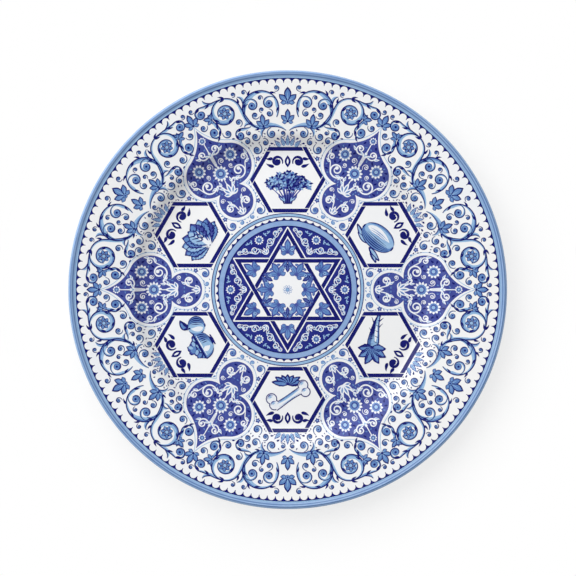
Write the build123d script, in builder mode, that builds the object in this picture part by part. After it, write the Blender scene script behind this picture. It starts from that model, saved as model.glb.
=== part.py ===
from build123d import *

import os
from math import cos, pi, radians, sin, sqrt

# Seder plate: a rimmed earthenware charger whose blue print is fired into its clear glaze.
# Millimetres, +Z up. The origin is on the table, under the centre of the plate.

# Earthenware body
plate_diameter = 330.0
wall = 4.8  # thickness of floor and rim, glaze included
floor_radius = 100.0  # flat part of the well
cavetto_radius = 20.0  # hollow curve that lifts the wall out of the floor
cavetto_angle = 45.0  # steepest slope of the wall, in degrees
shoulder_radius = 12.0  # round-over from the wall to the rim
rim_angle = 10.0  # slope of the rim, in degrees
foot_height = 3.2
foot_width = 5.0
foot_inset = 6.0  # from the edge of the flat floor in to the foot ring
foot_round = 0.7  # worn edges of the bare foot
glaze = 0.3  # thickness of the glaze coat and of the print fired into it
bare_foot = 1.2  # height of the wiped foot that the glaze leaves bare

# Blue edge band, and the toothed line inside it
edge_band_width = 5.0
edge_band_under = 3.0  # how far the band turns under the lip
edge_gap = 0.8  # white line between the band and the teeth
tooth_count = 160
tooth_line = 0.7  # solid line that the teeth stand on
tooth_depth = 3.0
tooth_tip = 0.5  # width of a tooth's blunt point

# Star medallion in the middle of the well
star_tip_radius = 46.7
star_band = 2.9
star_outline = 0.9  # white line round the star
weave_gap = 0.4  # white line where one band passes under another
ground_margin = 1.2  # from the star's tips out to the edge of the cobalt ground
ring_gap = 0.6  # white line round the ground
ring_width = 4.0
ring_tooth_count = 60
ring_tooth_line = 0.5
ring_tooth_depth = 1.6
scallop_margin = 1.0  # white ground between the teeth and the outer line
outer_line_width = 2.0

# Six hexagonal panels for the foods
panel_count = 6
panel_radius = 28.7  # centre to corner
panel_band = 2.9
panel_joint = 0.4  # white line where two strips of the frame meet
panel_gap = 1.0  # from the medallion out to a panel

# Cobalt fields between the panels: three lobes and a pointed tip
field_gap = 7.4  # from the medallion out to a field
field_root_lobe = 13.0  # radius of the lobe towards the medallion
field_side_lobe = 16.0  # radius of the two lobes towards the rim
field_spread = 10.0  # from the field's middle line out to a side lobe's centre
field_neck = 1.2  # how far the lobes run into each other
field_tip_length = 18.0
field_tip_side = 25.0  # where a side lobe runs out into the tip, in degrees
field_clearance = 2.0  # white ground kept between a field and a panel

# Heights and radii that follow from those sizes
plate_radius = plate_diameter / 2
lip_radius = wall / 2
floor_top = foot_height + wall
foot_outer = floor_radius - foot_inset
foot_inner = foot_outer - foot_width
rim_sin = sin(radians(rim_angle))
rim_cos = cos(radians(rim_angle))
wall_sin = sin(radians(cavetto_angle))
wall_cos = cos(radians(cavetto_angle))
rim_start_radius = floor_radius + (cavetto_radius + shoulder_radius) * wall_sin - shoulder_radius * rim_sin
rim_start_height = floor_top + cavetto_radius * (1 - wall_cos) + shoulder_radius * (rim_cos - wall_cos)
rim_run = (plate_radius - lip_radius - lip_radius * rim_sin - rim_start_radius) / rim_cos
face_run = (plate_radius - edge_band_width - rim_start_radius) / rim_cos
back_run = rim_run - edge_band_under

tooth_base = plate_radius - edge_band_width - edge_gap
ground_radius = star_tip_radius + ground_margin
ring_inner = ground_radius + ring_gap
ring_outer = ring_inner + ring_width
outer_line_inner = ring_outer + ring_tooth_line + ring_tooth_depth + scallop_margin
medallion_radius = outer_line_inner + outer_line_width

panel_step = 360 / panel_count
panel_start = 90.0  # the first panel stands at the top
panel_apothem = panel_radius * cos(pi / panel_count)
panel_ring = medallion_radius + panel_gap + panel_apothem

field_root = medallion_radius + field_gap + field_root_lobe
lobe_distance = field_root_lobe + field_side_lobe - field_neck
field_side = field_root + sqrt(lobe_distance**2 - field_spread**2)
field_tip = field_side + field_side_lobe + field_tip_length

os.makedirs("parts", exist_ok=True)


def keep(piece, name):
    piece.part.label = name
    export_step(piece.part, f"parts/{name}.step")


# Point on the rim, at a distance up its slope and a depth below its glazed face
def rim_point(run, depth):
    return (
        rim_start_radius + run * rim_cos + depth * rim_sin,
        rim_start_height + run * rim_sin - depth * rim_cos,
    )


# Line of the wall at a depth below its glazed face: floor, cavetto, shoulder and rim
def wall_line(depth, start, run):
    floor = Line((start, floor_top - depth), (floor_radius, floor_top - depth))
    cavetto = JernArc(floor @ 1, floor % 1, cavetto_radius + depth, cavetto_angle)
    shoulder = JernArc(cavetto @ 1, cavetto % 1, shoulder_radius - depth, rim_angle - cavetto_angle)
    Line(shoulder @ 1, rim_point(run, depth))


# Round line of the lip at a depth below the glaze, from a run on the face to a run on the back
def lip_line(depth, face_end, back_end):
    face = Line(rim_point(face_end, depth), rim_point(rim_run, depth))
    lip = JernArc(face @ 1, face % 1, lip_radius - depth, -180)
    Line(lip @ 1, rim_point(back_end, wall - depth))


# Fired clay body, with the bare foot ring that it stands on
with BuildPart() as biscuit_body:
    with BuildSketch(Plane.XZ):
        with BuildLine():
            wall_line(glaze, 0, face_run)
            lip_line(glaze, face_run, back_run)
            wall_line(wall - glaze, foot_outer - glaze, back_run)
            Polyline(
                (foot_outer - glaze, foot_height + glaze),
                (foot_outer - glaze, 0),
                (foot_inner + glaze, 0),
                (foot_inner + glaze, foot_height + glaze),
                (0, foot_height + glaze),
                (0, floor_top - glaze),
            )
        make_face()
    revolve(axis=Axis.Z)
    foot_base = biscuit_body.faces().sort_by(Axis.Z)[0]
    fillet(foot_base.edges(), foot_round)
keep(biscuit_body, "biscuit_body")


# Clear glaze on the back, from the edge band in to the foot and down its outer side
with BuildPart() as back_glaze:
    with BuildSketch(Plane.XZ):
        with BuildLine():
            wall_line(wall - glaze, foot_outer - glaze, back_run)
            wall_line(wall, foot_outer, back_run)
            Line(rim_point(back_run, wall - glaze), rim_point(back_run, wall))
            Polyline(
                (foot_outer, foot_height),
                (foot_outer, bare_foot),
                (foot_outer - glaze, bare_foot),
                (foot_outer - glaze, foot_height + glaze),
            )
        make_face()
    revolve(axis=Axis.Z)
keep(back_glaze, "back_glaze")


# Clear glaze in the hollow of the foot
with BuildPart() as foot_well_glaze:
    with BuildSketch(Plane.XZ):
        with BuildLine():
            Polyline(
                (0, foot_height),
                (foot_inner, foot_height),
                (foot_inner, bare_foot),
                (foot_inner + glaze, bare_foot),
                (foot_inner + glaze, foot_height + glaze),
                (0, foot_height + glaze),
                close=True,
            )
        make_face()
    revolve(axis=Axis.Z)
keep(foot_well_glaze, "foot_well_glaze")


# Blue band of glaze colour that wraps the lip
with BuildPart() as edge_band:
    with BuildSketch(Plane.XZ):
        with BuildLine():
            lip_line(0, face_run, back_run)
            lip_line(glaze, face_run, back_run)
            Line(rim_point(face_run, 0), rim_point(face_run, glaze))
            Line(rim_point(back_run, wall - glaze), rim_point(back_run, wall))
        make_face()
    revolve(axis=Axis.Z)
keep(edge_band, "edge_band")


# Whole glaze coat of the face, before the print is let into it
with BuildPart() as face_coat:
    with BuildSketch(Plane.XZ):
        with BuildLine():
            wall_line(0, 0, face_run)
            wall_line(glaze, 0, face_run)
            Line((0, floor_top), (0, floor_top - glaze))
            Line(rim_point(face_run, 0), rim_point(face_run, glaze))
        make_face()
    revolve(axis=Axis.Z)


# Ring with a solid line and pointed teeth between scallops. The teeth point out, or in where way is -1.
def toothed_ring(base, line, depth, count, way):
    tip = base + way * (line + depth)
    half_chord = tip * sin(pi / count) - tooth_tip / 2
    scallop = (half_chord**2 + depth**2) / (2 * depth)
    with BuildSketch() as outline:
        Circle(max(base, tip))
        Circle(min(base, tip), mode=Mode.SUBTRACT)
        with PolarLocations(tip + way * (scallop - depth), count):
            Circle(scallop, mode=Mode.SUBTRACT)
    return outline


# Triangle of the star. It passes under the other one at every second crossing.
def star_triangle(tip_angle):
    crossing = (star_tip_radius - star_band) / 2 / cos(pi / 6)
    with BuildSketch() as outline:
        RegularPolygon(star_tip_radius, 3, rotation=tip_angle)
        RegularPolygon(star_tip_radius - 2 * star_band, 3, rotation=tip_angle, mode=Mode.SUBTRACT)
        with PolarLocations(crossing, 3, start_angle=tip_angle - 30):
            Rectangle(star_band + 2 * weave_gap, 3 * star_band, rotation=30, mode=Mode.SUBTRACT)
    return outline


# Cobalt ground: what the star and its white outline leave of a disc
def star_ground():
    outer_tip = star_tip_radius + 2 * star_outline
    with BuildSketch() as outline:
        Circle(ground_radius)
        RegularPolygon(outer_tip, 3, rotation=90, mode=Mode.SUBTRACT)
        RegularPolygon(outer_tip, 3, rotation=-90, mode=Mode.SUBTRACT)
    return outline


def plain_ring(inner, width):
    with BuildSketch() as outline:
        Circle(inner + width)
        Circle(inner, mode=Mode.SUBTRACT)
    return outline


# Frame of one panel, of six strips that meet at a white line
def panel_frame(angle):
    centre = (panel_ring * cos(radians(angle)), panel_ring * sin(radians(angle)))
    joint_distance = panel_apothem - panel_band - panel_joint / 2
    with BuildSketch() as outline:
        with Locations(centre):
            RegularPolygon(panel_radius, 6)
            RegularPolygon(panel_apothem - panel_band, 6, major_radius=False, mode=Mode.SUBTRACT)
            with PolarLocations(joint_distance, 6, start_angle=30):
                with Locations((0, panel_radius / 2)):
                    Rectangle(panel_joint, 2 * panel_band, mode=Mode.SUBTRACT)
    return outline


# One cobalt field, kept clear of the panels on both sides of it
def field(angle):
    lobe_end = radians(field_tip_side)
    tip_start = (field_side + field_side_lobe * cos(lobe_end), field_spread + field_side_lobe * sin(lobe_end))
    with BuildSketch(Plane.XY.rotated((0, 0, angle))) as outline:
        with Locations((field_root, 0)):
            Circle(field_root_lobe)
        with Locations((field_side, field_spread), (field_side, -field_spread)):
            Circle(field_side_lobe)
        with BuildLine():
            edge = TangentArc(tip_start, (field_tip, 0), tangent=(sin(lobe_end), -cos(lobe_end)))
            Line(edge @ 0, (field_root, 0))
            mirror(about=Plane.XZ)
        make_face()
        with PolarLocations(panel_ring, 2, -panel_step / 2, panel_step, endpoint=True):
            RegularPolygon(
                panel_apothem + field_clearance, 6, major_radius=False, rotation=30, mode=Mode.SUBTRACT
            )
    return outline


# Outlines of the print, by the name of the piece that each one makes
print_outlines = {
    "rim_tooth_line": toothed_ring(tooth_base, tooth_line, tooth_depth, tooth_count, -1),
    "star_triangle_up": star_triangle(90),
    "star_triangle_down": star_triangle(-90),
    "medallion_ground": star_ground(),
    "medallion_ring": plain_ring(ring_inner, ring_width),
    "medallion_tooth_line": toothed_ring(ring_outer, ring_tooth_line, ring_tooth_depth, ring_tooth_count, 1),
    "medallion_outer_line": plain_ring(outer_line_inner, outer_line_width),
}
for number in range(panel_count):
    panel_angle = panel_start + number * panel_step
    print_outlines[f"panel_frame_{number + 1}"] = panel_frame(panel_angle)
    print_outlines[f"cobalt_field_{number + 1}"] = field(panel_angle + panel_step / 2)

# Print: each outline, as deep as the glaze and following the plate's curve
for name, outline in print_outlines.items():
    with BuildPart() as fired_print:
        add(face_coat.part)
        extrude(outline.sketch, amount=plate_radius, mode=Mode.INTERSECT)
    keep(fired_print, name)


# Clear glaze of the face, with the print let into it
with BuildSketch() as whole_print:
    for outline in print_outlines.values():
        add(outline.sketch)
with BuildPart() as face_glaze:
    add(face_coat.part)
    extrude(whole_print.sketch, amount=plate_radius, mode=Mode.SUBTRACT)
keep(face_glaze, "face_glaze")
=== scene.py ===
from math import atan2, cos, degrees, pi, radians, sin, sqrt

import bpy
import numpy as np
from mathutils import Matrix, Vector, kdtree


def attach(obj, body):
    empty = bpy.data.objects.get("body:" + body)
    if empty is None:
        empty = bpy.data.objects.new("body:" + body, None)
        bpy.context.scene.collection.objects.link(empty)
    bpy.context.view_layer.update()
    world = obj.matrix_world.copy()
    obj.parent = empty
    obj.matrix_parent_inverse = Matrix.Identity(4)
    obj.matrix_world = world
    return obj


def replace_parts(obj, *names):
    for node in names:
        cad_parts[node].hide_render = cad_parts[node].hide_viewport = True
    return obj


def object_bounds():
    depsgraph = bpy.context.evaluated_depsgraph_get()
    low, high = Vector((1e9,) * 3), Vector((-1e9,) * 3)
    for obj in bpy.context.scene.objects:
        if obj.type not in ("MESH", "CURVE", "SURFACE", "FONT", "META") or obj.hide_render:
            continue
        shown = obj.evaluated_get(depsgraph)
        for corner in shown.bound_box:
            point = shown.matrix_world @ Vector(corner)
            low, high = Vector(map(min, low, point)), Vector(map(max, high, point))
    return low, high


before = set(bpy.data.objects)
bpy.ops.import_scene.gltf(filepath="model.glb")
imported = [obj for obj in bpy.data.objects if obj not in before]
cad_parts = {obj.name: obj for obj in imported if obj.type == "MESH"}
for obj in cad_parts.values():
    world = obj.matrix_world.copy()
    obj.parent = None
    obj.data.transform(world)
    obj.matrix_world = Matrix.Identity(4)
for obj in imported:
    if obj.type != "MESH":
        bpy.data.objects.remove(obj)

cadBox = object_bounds()
scene = bpy.context.scene
scene.view_settings.view_transform = "Standard"
mmPerMetre = 1000  # the drawing is in millimetres, the scene in metres
print("frame loaded:", len(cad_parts), "nodes")


# finishes

class Wire:
    def __init__(self, tree, socket=None):
        self.tree = tree
        self.socket = socket

    # any node: its type, its settings, then the values or links of its sockets
    def node(self, kind, settings=None, sockets=None, out=0):
        made = self.tree.nodes.new(kind)
        for key, value in (settings or {}).items():
            setattr(made, key, value)
        for key, value in (sockets or {}).items():
            if isinstance(value, Wire):
                self.tree.links.new(value.socket, made.inputs[key])
            else:
                made.inputs[key].default_value = value
        return Wire(self.tree, made.outputs[out])

    def math(self, operation, *values):
        return self.node("ShaderNodeMath", {"operation": operation}, dict(enumerate(values)))

    def __add__(self, other):
        return self.math("ADD", self, other)

    def __sub__(self, other):
        return self.math("SUBTRACT", self, other)

    def __rsub__(self, other):
        return self.math("SUBTRACT", other, self)

    def __mul__(self, other):
        return self.math("MULTIPLY", self, other)

    __radd__ = __add__
    __rmul__ = __mul__


def linear(value):  # an sRGB level as linear light
    value /= 255
    return value / 12.92 if value <= 0.04045 else ((value + 0.055) / 1.055) ** 2.4


def paint(red, green, blue):
    return (linear(red), linear(green), linear(blue), 1.0)


def blend(wire, factor, first, second):
    return wire.node("ShaderNodeMix", {"data_type": "RGBA"}, {0: factor, 6: first, 7: second}, 2)


# the first result up to low, the last one from high on
def ranged(wire, value, low, high, first=0.0, last=1.0, curve="LINEAR"):
    settings = {"clamp": True, "interpolation_type": curve}
    ends = {"Value": value, "From Min": low, "From Max": high, "To Min": first, "To Max": last}
    return wire.node("ShaderNodeMapRange", settings, ends)


def cloud(wire, place, size, detail, low=0.35, high=0.65):  # 0 to 1, patches of that size in mm
    scale = mmPerMetre / size
    noise = wire.node("ShaderNodeTexNoise", None, {"Vector": place, "Scale": scale, "Detail": detail})
    return ranged(wire, noise, low, high)


def dots(wire, place, scale, edge, strength):  # round specks with soft edges
    away = wire.node("ShaderNodeTexVoronoi", None, {"Vector": place, "Scale": scale})
    return ranged(wire, away, *edge, strength, 0.0)


# in the looks, each cloud is a size in mm, its detail, and at times its low and high
surface = {"specular": 0.22, "glossCloud": (12, 3), "glossSpread": 0.05,
           "rippleCloud": (5.5, 1, 0.2, 0.8), "ripple": 0.000012}  # ripple in metres


def newFinish(name):
    material = bpy.data.materials.new(name)
    material.use_nodes = True
    wire = Wire(material.node_tree)
    place = wire.node("ShaderNodeTexCoord", out=3)
    return material, wire, place, material.node_tree.nodes["Principled BSDF"]


def finishWith(wire, shader, color, roughness, height, depth):
    links = wire.tree.links
    links.new(color.socket, shader.inputs["Base Color"])
    links.new(roughness.socket, shader.inputs["Roughness"])
    shader.inputs["Specular IOR Level"].default_value = surface["specular"]
    bump = wire.node("ShaderNodeBump", None, {"Height": height, "Strength": 1.0, "Distance": depth})
    links.new(bump.socket, shader.inputs["Normal"])


def glossy(wire, place, gloss):
    return cloud(wire, place, *surface["glossCloud"]) * surface["glossSpread"] + gloss


def rippled(wire, place):
    return cloud(wire, place, *surface["rippleCloud"])


glazeLook = {"white": (239, 240, 242), "gloss": 0.17,
             "pooled": (229, 233, 239), "poolCloud": (38, 3), "poolShare": 0.55,
             "warm": (240, 238, 234), "warmCloud": (90, 1), "warmShare": 0.45,
             "pinhole": (176, 176, 172), "pinholes": (95.0, (0.012, 0.022), 0.35)}


def glazeFinish(name, look):
    material, wire, place, shader = newFinish(name)
    pooled = cloud(wire, place, *look["poolCloud"]) * look["poolShare"]
    warm = cloud(wire, place, *look["warmCloud"]) * look["warmShare"]
    color = blend(wire, pooled, paint(*look["white"]), paint(*look["pooled"]))
    color = blend(wire, warm, color, paint(*look["warm"]))
    color = blend(wire, dots(wire, place, *look["pinholes"]), color, paint(*look["pinhole"]))
    roughness = glossy(wire, place, look["gloss"])
    finishWith(wire, shader, color, roughness, rippled(wire, place), surface["ripple"])
    return material


inkLooks = {
    "navy": {"deep": (6, 10, 90), "thin": (20, 28, 118), "gloss": 0.18},
    "cobalt": {"deep": (44, 52, 134), "thin": (78, 92, 164), "gloss": 0.18},
    "mid": {"deep": (76, 114, 178), "thin": (112, 150, 200), "gloss": 0.18},
    "pale": {"deep": (130, 168, 210), "thin": (164, 196, 224), "gloss": 0.18},
    "white": {"deep": (238, 239, 241), "thin": (222, 228, 238), "gloss": 0.17},
}
groundLook = {"deep": (18, 26, 112), "thin": (42, 52, 140), "gloss": 0.18}
ringLook = {"deep": (124, 154, 202), "thin": (152, 180, 218), "gloss": 0.18}
inkGrain = {"poolCloud": (9, 3), "poolShare": 0.34, "washCloud": (1.8, 2, 0.3, 0.7), "washShare": 0.34,
            "spotCloud": (0.45, 1, 0.3, 0.7), "spotShare": 0.26}


def inkFinish(name, look):
    material, wire, place, shader = newFinish(name)
    pooled = cloud(wire, place, *inkGrain["poolCloud"]) * inkGrain["poolShare"]
    wash = cloud(wire, place, *inkGrain["washCloud"]) * inkGrain["washShare"]
    spots = cloud(wire, place, *inkGrain["spotCloud"]) * inkGrain["spotShare"]
    color = blend(wire, pooled + wash + spots, paint(*look["deep"]), paint(*look["thin"]))
    roughness = glossy(wire, place, look["gloss"])
    finishWith(wire, shader, color, roughness, rippled(wire, place), surface["ripple"])
    return material


bandLook = {"deep": (58, 92, 154), "body": (136, 168, 210), "thin": (162, 190, 222), "gloss": 0.13,
            "strokeCloud": (14, 3), "strokeShare": 0.5, "grainCloud": (0.5, 1, 0.3, 0.7), "grainShare": 0.25,
            "lines": (161.5, 163.2), "lineEdge": (0.65, 0.08), "lineShare": 0.8,  # radii and half widths
            "wobbleCloud": (30, 1, 0.2, 0.8), "wobble": 0.16,
            "upturn": (159.8, 162.8), "slope": 0.42}  # the glaze rises to the lip between these radii


def bandFinish(name, look):
    material, wire, place, shader = newFinish(name)
    plan = {0: place, 1: (mmPerMetre, mmPerMetre, 0)}
    flat = wire.node("ShaderNodeVectorMath", {"operation": "MULTIPLY"}, plan)
    radius = wire.node("ShaderNodeVectorMath", {"operation": "LENGTH"}, {0: flat}, 1)
    wobble = cloud(wire, place, *look["wobbleCloud"]) * look["wobble"]
    line = None
    for target in look["lines"]:
        away = wire.math("ABSOLUTE", radius + wobble - (target + look["wobble"] / 2))
        one = ranged(wire, away, *look["lineEdge"])
        line = one if line is None else wire.math("MAXIMUM", line, one)
    stroke = cloud(wire, place, *look["strokeCloud"]) * look["strokeShare"]
    grain = cloud(wire, place, *look["grainCloud"]) * look["grainShare"]
    color = blend(wire, stroke + grain, paint(*look["body"]), paint(*look["thin"]))
    color = blend(wire, line * look["lineShare"], color, paint(*look["deep"]))
    roughness = glossy(wire, place, look["gloss"])
    start, end = look["upturn"]
    rise = ranged(wire, radius, start, end, 0.0, (end - start) * look["slope"])
    ripple = rippled(wire, place) * (surface["ripple"] * mmPerMetre)
    finishWith(wire, shader, color, roughness, rise + ripple, 1 / mmPerMetre)  # heights in mm
    return material


biscuitLook = {"clay": (226, 219, 205), "shade": (206, 196, 178), "shadeCloud": (7, 4),
               "speck": (150, 132, 108), "specks": (420.0, (0.06, 0.12), 0.5),
               "rough": 0.72, "roughCloud": (2, 3), "roughSpread": 0.15,
               "grainCloud": (0.7, 3, 0.2, 0.8), "grain": 0.00008}  # grain in metres


def biscuitFinish(name, look):
    material, wire, place, shader = newFinish(name)
    color = blend(wire, cloud(wire, place, *look["shadeCloud"]), paint(*look["clay"]), paint(*look["shade"]))
    color = blend(wire, dots(wire, place, *look["specks"]), color, paint(*look["speck"]))
    roughness = cloud(wire, place, *look["roughCloud"]) * look["roughSpread"] + look["rough"]
    finishWith(wire, shader, color, roughness, cloud(wire, place, *look["grainCloud"]), look["grain"])
    return material


inks = {name: inkFinish("ink_" + name, look) for name, look in inkLooks.items()}
glaze = glazeFinish("white_glaze", glazeLook)
band = bandFinish("blue_edge", bandLook)
ring = inkFinish("ring_blue", ringLook)
ground = inkFinish("ground_blue", groundLook)
biscuit = biscuitFinish("bare_clay", biscuitLook)
nodeFinish = {
    "biscuit_body": biscuit, "back_glaze": glaze, "foot_well_glaze": glaze, "face_glaze": glaze,
    "edge_band": band, "rim_tooth_line": inks["navy"],
    "star_triangle_up": inks["navy"], "star_triangle_down": inks["navy"],
    "medallion_ground": ground, "medallion_ring": ring,
    "medallion_tooth_line": inks["navy"], "medallion_outer_line": inks["pale"],
}
for nodeName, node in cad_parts.items():
    other = inks["navy"] if nodeName.startswith("panel_frame") else inks["cobalt"]
    node.material_slots[0].material = nodeFinish.get(nodeName, other)
print("finishes:", len(bpy.data.materials))


# pen: each mark is a grid of points in millimetres, a spine with a width along it

pen = {"step": 0.6, "leastSteps": 7, "turnSteps": 18, "thinnest": 0.06, "discEnd": 0.12}


def polar(r, deg):
    return np.array([r * cos(radians(deg)), r * sin(radians(deg))])


def bearing(way):
    return degrees(atan2(way[1], way[0]))


def turning(angle):  # turns rows of points
    c, s = cos(radians(angle)), sin(radians(angle))
    return np.array([[c, s], [-s, c]])


def arc(x, y, r, angles):
    return np.stack([x + r * np.cos(angles), y + r * np.sin(angles)], 1)


def curl(start, heading, length, bendA, bendB, ease=1.0, step=pen["step"]):  # bends in degrees for each mm
    n = max(pen["leastSteps"], int(length / step))
    t = (np.arange(n) + 0.5) / n
    turn = np.radians(bendA + (bendB - bendA) * t ** ease) * (length / n)
    angle = radians(heading) + np.cumsum(turn) - turn / 2
    hop = np.stack([np.cos(angle), np.sin(angle)], 1) * (length / n)
    start = np.asarray(start, float)
    return np.concatenate([[start], start + np.cumsum(hop, 0)])


def volute(center, outer, begin, turns, spin, inner, step=pen["step"]):
    n = max(int(pen["turnSteps"] * turns), int(turns * pi * (outer + inner) / step))
    t = np.linspace(0, 1, n)
    r = outer * (inner / outer) ** t
    a = np.radians(begin + spin * 360 * turns * t)
    return np.asarray(center, float) + np.stack([r * np.cos(a), r * np.sin(a)], 1)


# a stem that runs into a spiral in the spiral's own direction
def sweep(start, heading, spiral, pull=1.0, step=pen["step"]):
    start = np.asarray(start, float)
    way = spiral[1] - spiral[0]
    span = np.linalg.norm(spiral[0] - start)
    a = polar(span * pull, heading)
    b = way / np.linalg.norm(way) * span * pull
    n = max(5, int(span * 1.15 / step))  # a bent stem is a little longer than its span
    t = np.linspace(0, 1, n, endpoint=False)[:, None]
    stem = (2 * t**3 - 3 * t**2 + 1) * start + (t**3 - 2 * t**2 + t) * a
    stem = stem + (3 * t**2 - 2 * t**3) * spiral[0] + (t**3 - t**2) * b
    return np.concatenate([stem, spiral])


def straight(first, last, n=12):
    return np.asarray(first, float) + np.subtract(last, first) * np.linspace(0, 1, n)[:, None]


def spot(path, t):  # a point on a path, and the path's heading there
    i = min(len(path) - 2, int(t * (len(path) - 1)))
    return path[i], bearing(path[i + 1] - path[i])


def along(*rows):  # the spots of each row: a path, a side, then places on the path from 0 to 1
    return [(*spot(path, t), side) for path, side, *places in rows for t in places]


def normals(path):
    way = np.gradient(path, axis=0)
    way /= np.maximum(np.linalg.norm(way, axis=1, keepdims=True), 1e-9)
    return np.stack([-way[:, 1], way[:, 0]], 1)


def widthsAlong(widths, n):
    t = np.linspace(0, 1, n)
    if callable(widths):
        return widths(t)
    widths = np.atleast_1d(widths)
    return np.interp(t, np.linspace(0, 1, len(widths)), widths)


def ribbon(path, widths, cols=2):
    w = widthsAlong(widths, len(path))
    across = np.linspace(-0.5, 0.5, cols)
    return path[:, None, :] + normals(path)[:, None, :] * (w[:, None] * across[None, :])[:, :, None]


def hoop(r, width, step):  # a line all the way round the plate
    return ribbon(arc(0, 0, r, np.radians(np.arange(0, 361, step))), width)


def leafWidth(width, belly=0.75, teeth=0, bite=0.0):
    def shape(t):
        w = width * np.sin(pi * np.clip(t, 0, 1) ** belly)
        if teeth:
            w = w * (1 - bite * ((t * teeth) % 1.0))
        return np.maximum(w, pen["thinnest"])
    return shape


def leaf(start, heading, length, width, bend=0.0, belly=0.75, teeth=0, bite=0.0, step=pen["step"]):
    spine = curl(start, heading, length, bend, bend, step=step)
    return ribbon(spine, leafWidth(width, belly, teeth, bite), 3)


def disc(center, radius, n=9):
    a = np.linspace(pi - pen["discEnd"], pen["discEnd"], n)
    grid = np.zeros((n, 3, 2))
    grid[:, :, 0] = (center[0] + radius * np.cos(a))[:, None]
    grid[:, :, 1] = center[1] + np.outer(radius * np.sin(a), [-1.0, 0.0, 1.0])
    return grid


class Sheet:
    def __init__(self, *others):
        self.marks = [mark for other in others for mark in other.marks]  # each is (ink, level, grid)

    def add(self, ink, level, grid):
        self.marks.append((ink, level, np.asarray(grid, float)))

    def changed(self, change):
        out = Sheet()
        out.marks = [(ink, level, change(grid)) for ink, level, grid in self.marks]
        return out

    def moved(self, dx, dy):
        return self.changed(lambda grid: grid + np.array([dx, dy]))

    def scaled(self, wide, high):
        return self.changed(lambda grid: grid * np.array([wide, high]))

    def flipped(self):
        return self.changed(lambda grid: (grid * np.array([-1.0, 1.0]))[:, ::-1])

    def turned(self, angle):
        return self.changed(lambda grid: grid @ turning(angle))

    def around(self, first=0):  # six copies round the plate
        return Sheet(*[self.turned(first + 60 * k) for k in range(6)])

    def both(self):
        return Sheet(self, self.flipped())


# motifs: most factors in them are shares of the motif's own size

def bulb(sheet, at, r, dark="navy", body="mid", level=2):
    sheet.add(dark, level, disc(at, r + 0.28))
    sheet.add(body, level + 1, disc(at, r))
    sheet.add(dark, level + 2, disc(at, r * 0.4, 7))


# a fine line with a two-tone swelling beside it
def vine(sheet, path, swell, side, line, dark="navy", body="pale", shade="mid"):
    w = widthsAlong(swell, len(path))
    out = normals(path) * side
    sheet.add(body, 1, ribbon(path + out * (w / 2)[:, None], w))
    sheet.add(shade, 2, ribbon(path + out * (w * 0.22)[:, None], w * 0.44))
    sheet.add(dark, 3, ribbon(path, (line * 0.6, line, line * 1.1, line, line * 0.7)))


# a tail that curls into a round bud
def tendril(sheet, at, size, begin, spin, dark="navy", body="mid", line=0.7):
    tail = volute(at, size, begin, 0.98, spin, size * 0.4, 0.5)
    swell = (0.2, size * 0.2, size * 0.3, size * 0.22, 0.1)
    vine(sheet, tail, swell, spin, line, dark, "pale", body)
    bulb(sheet, at, size * 0.37, dark, body)


# a leaf and a smaller one on it: for each, how far from the foot it starts, its length and its width
def twoTone(sheet, inkPair, level, foot, heading, outer, inner, bend, belly, step=0.5):
    for i, (ink, (back, length, width)) in enumerate(zip(inkPair, (outer, inner))):
        start = foot + polar(back, heading)
        sheet.add(ink, level + i, leaf(start, heading, length, width, bend, belly, step=step))


def acanthus(sheet, start, heading, length, width, bend, dark="cobalt", body="pale", vein="mid"):
    spine = curl(start, heading, length, bend, bend, step=0.5)
    n, teeth = len(spine), 4
    sheet.add(dark, 2, ribbon(spine, leafWidth(width, 0.62, teeth, 0.36), 3))
    sheet.add(body, 3, ribbon(spine[: int(n * 0.9)], leafWidth(width * 0.66, 0.62, teeth, 0.3), 3))
    sheet.add(vein, 4, ribbon(spine[2: int(n * 0.74)], (0.45, 0.3, 0.12)))
    for t in (0.24, 0.4, 0.56):
        at, h = spot(spine, t)
        for side in (1, -1):
            far = at + polar(width * 0.3 * (1.15 - t), h + side * 38)
            sheet.add(dark, 4, ribbon(straight(at, far, 3), (0.26, 0.1)))


# five pointed lobes with a vein each
def vineLeaf(sheet, start, heading, size, dark="navy", body="mid", vein="pale", level=2):
    start = np.asarray(start, float)
    for turn, share in ((106, 0.50), (-106, 0.50), (54, 0.76), (-54, 0.76), (0, 1.0)):
        h, long, wide = heading + turn, size * share, size * 0.47 * sqrt(share)
        inner = (size * 0.06, long * 0.8, wide * 0.68)
        twoTone(sheet, (dark, body), level, start, h, (0, long, wide), inner, -turn * 0.03, 1.2, size * 0.07)
        line = straight(start + polar(size * 0.1, h), start + polar(long * 0.62, h), 4)
        sheet.add(vein, level + 2, ribbon(line, (size * 0.05, size * 0.015)))
    sheet.add(dark, level + 3, disc(start, size * 0.09, 7))


def rosette(sheet, center, r, petals, petal, dark):
    center = np.asarray(center, float)
    for i in range(petals):
        h = 360 * i / petals
        for ink, level, back, long, wide in ((dark, 2, 0.18, 0.86, 4.4), (petal, 3, 0.3, 0.66, 3.0)):
            start = center + polar(r * back, h)
            sheet.add(ink, level, leaf(start, h, r * long, r * wide / petals, 0, 1.25, step=r * 0.12))
    sheet.add(dark, 4, disc(center, r * 0.36, 11))
    sheet.add("pale", 5, disc(center, r * 0.26, 11))


def daisy(sheet, center, r, petals):  # white petals and a blue eye, for the cobalt grounds
    center = np.asarray(center, float)
    for i in range(petals):
        h = 360 * i / petals
        petal = leaf(center + polar(r * 0.34, h), h, r * 0.66, r * 4.0 / petals, 0, 1.35, step=r * 0.12)
        sheet.add("white", 1, petal)
    sheet.add("mid", 2, disc(center, r * 0.62, 13))
    sheet.add("cobalt", 3, disc(center, r * 0.42, 11))
    sheet.add("pale", 4, disc(center, r * 0.26, 11))


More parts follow.
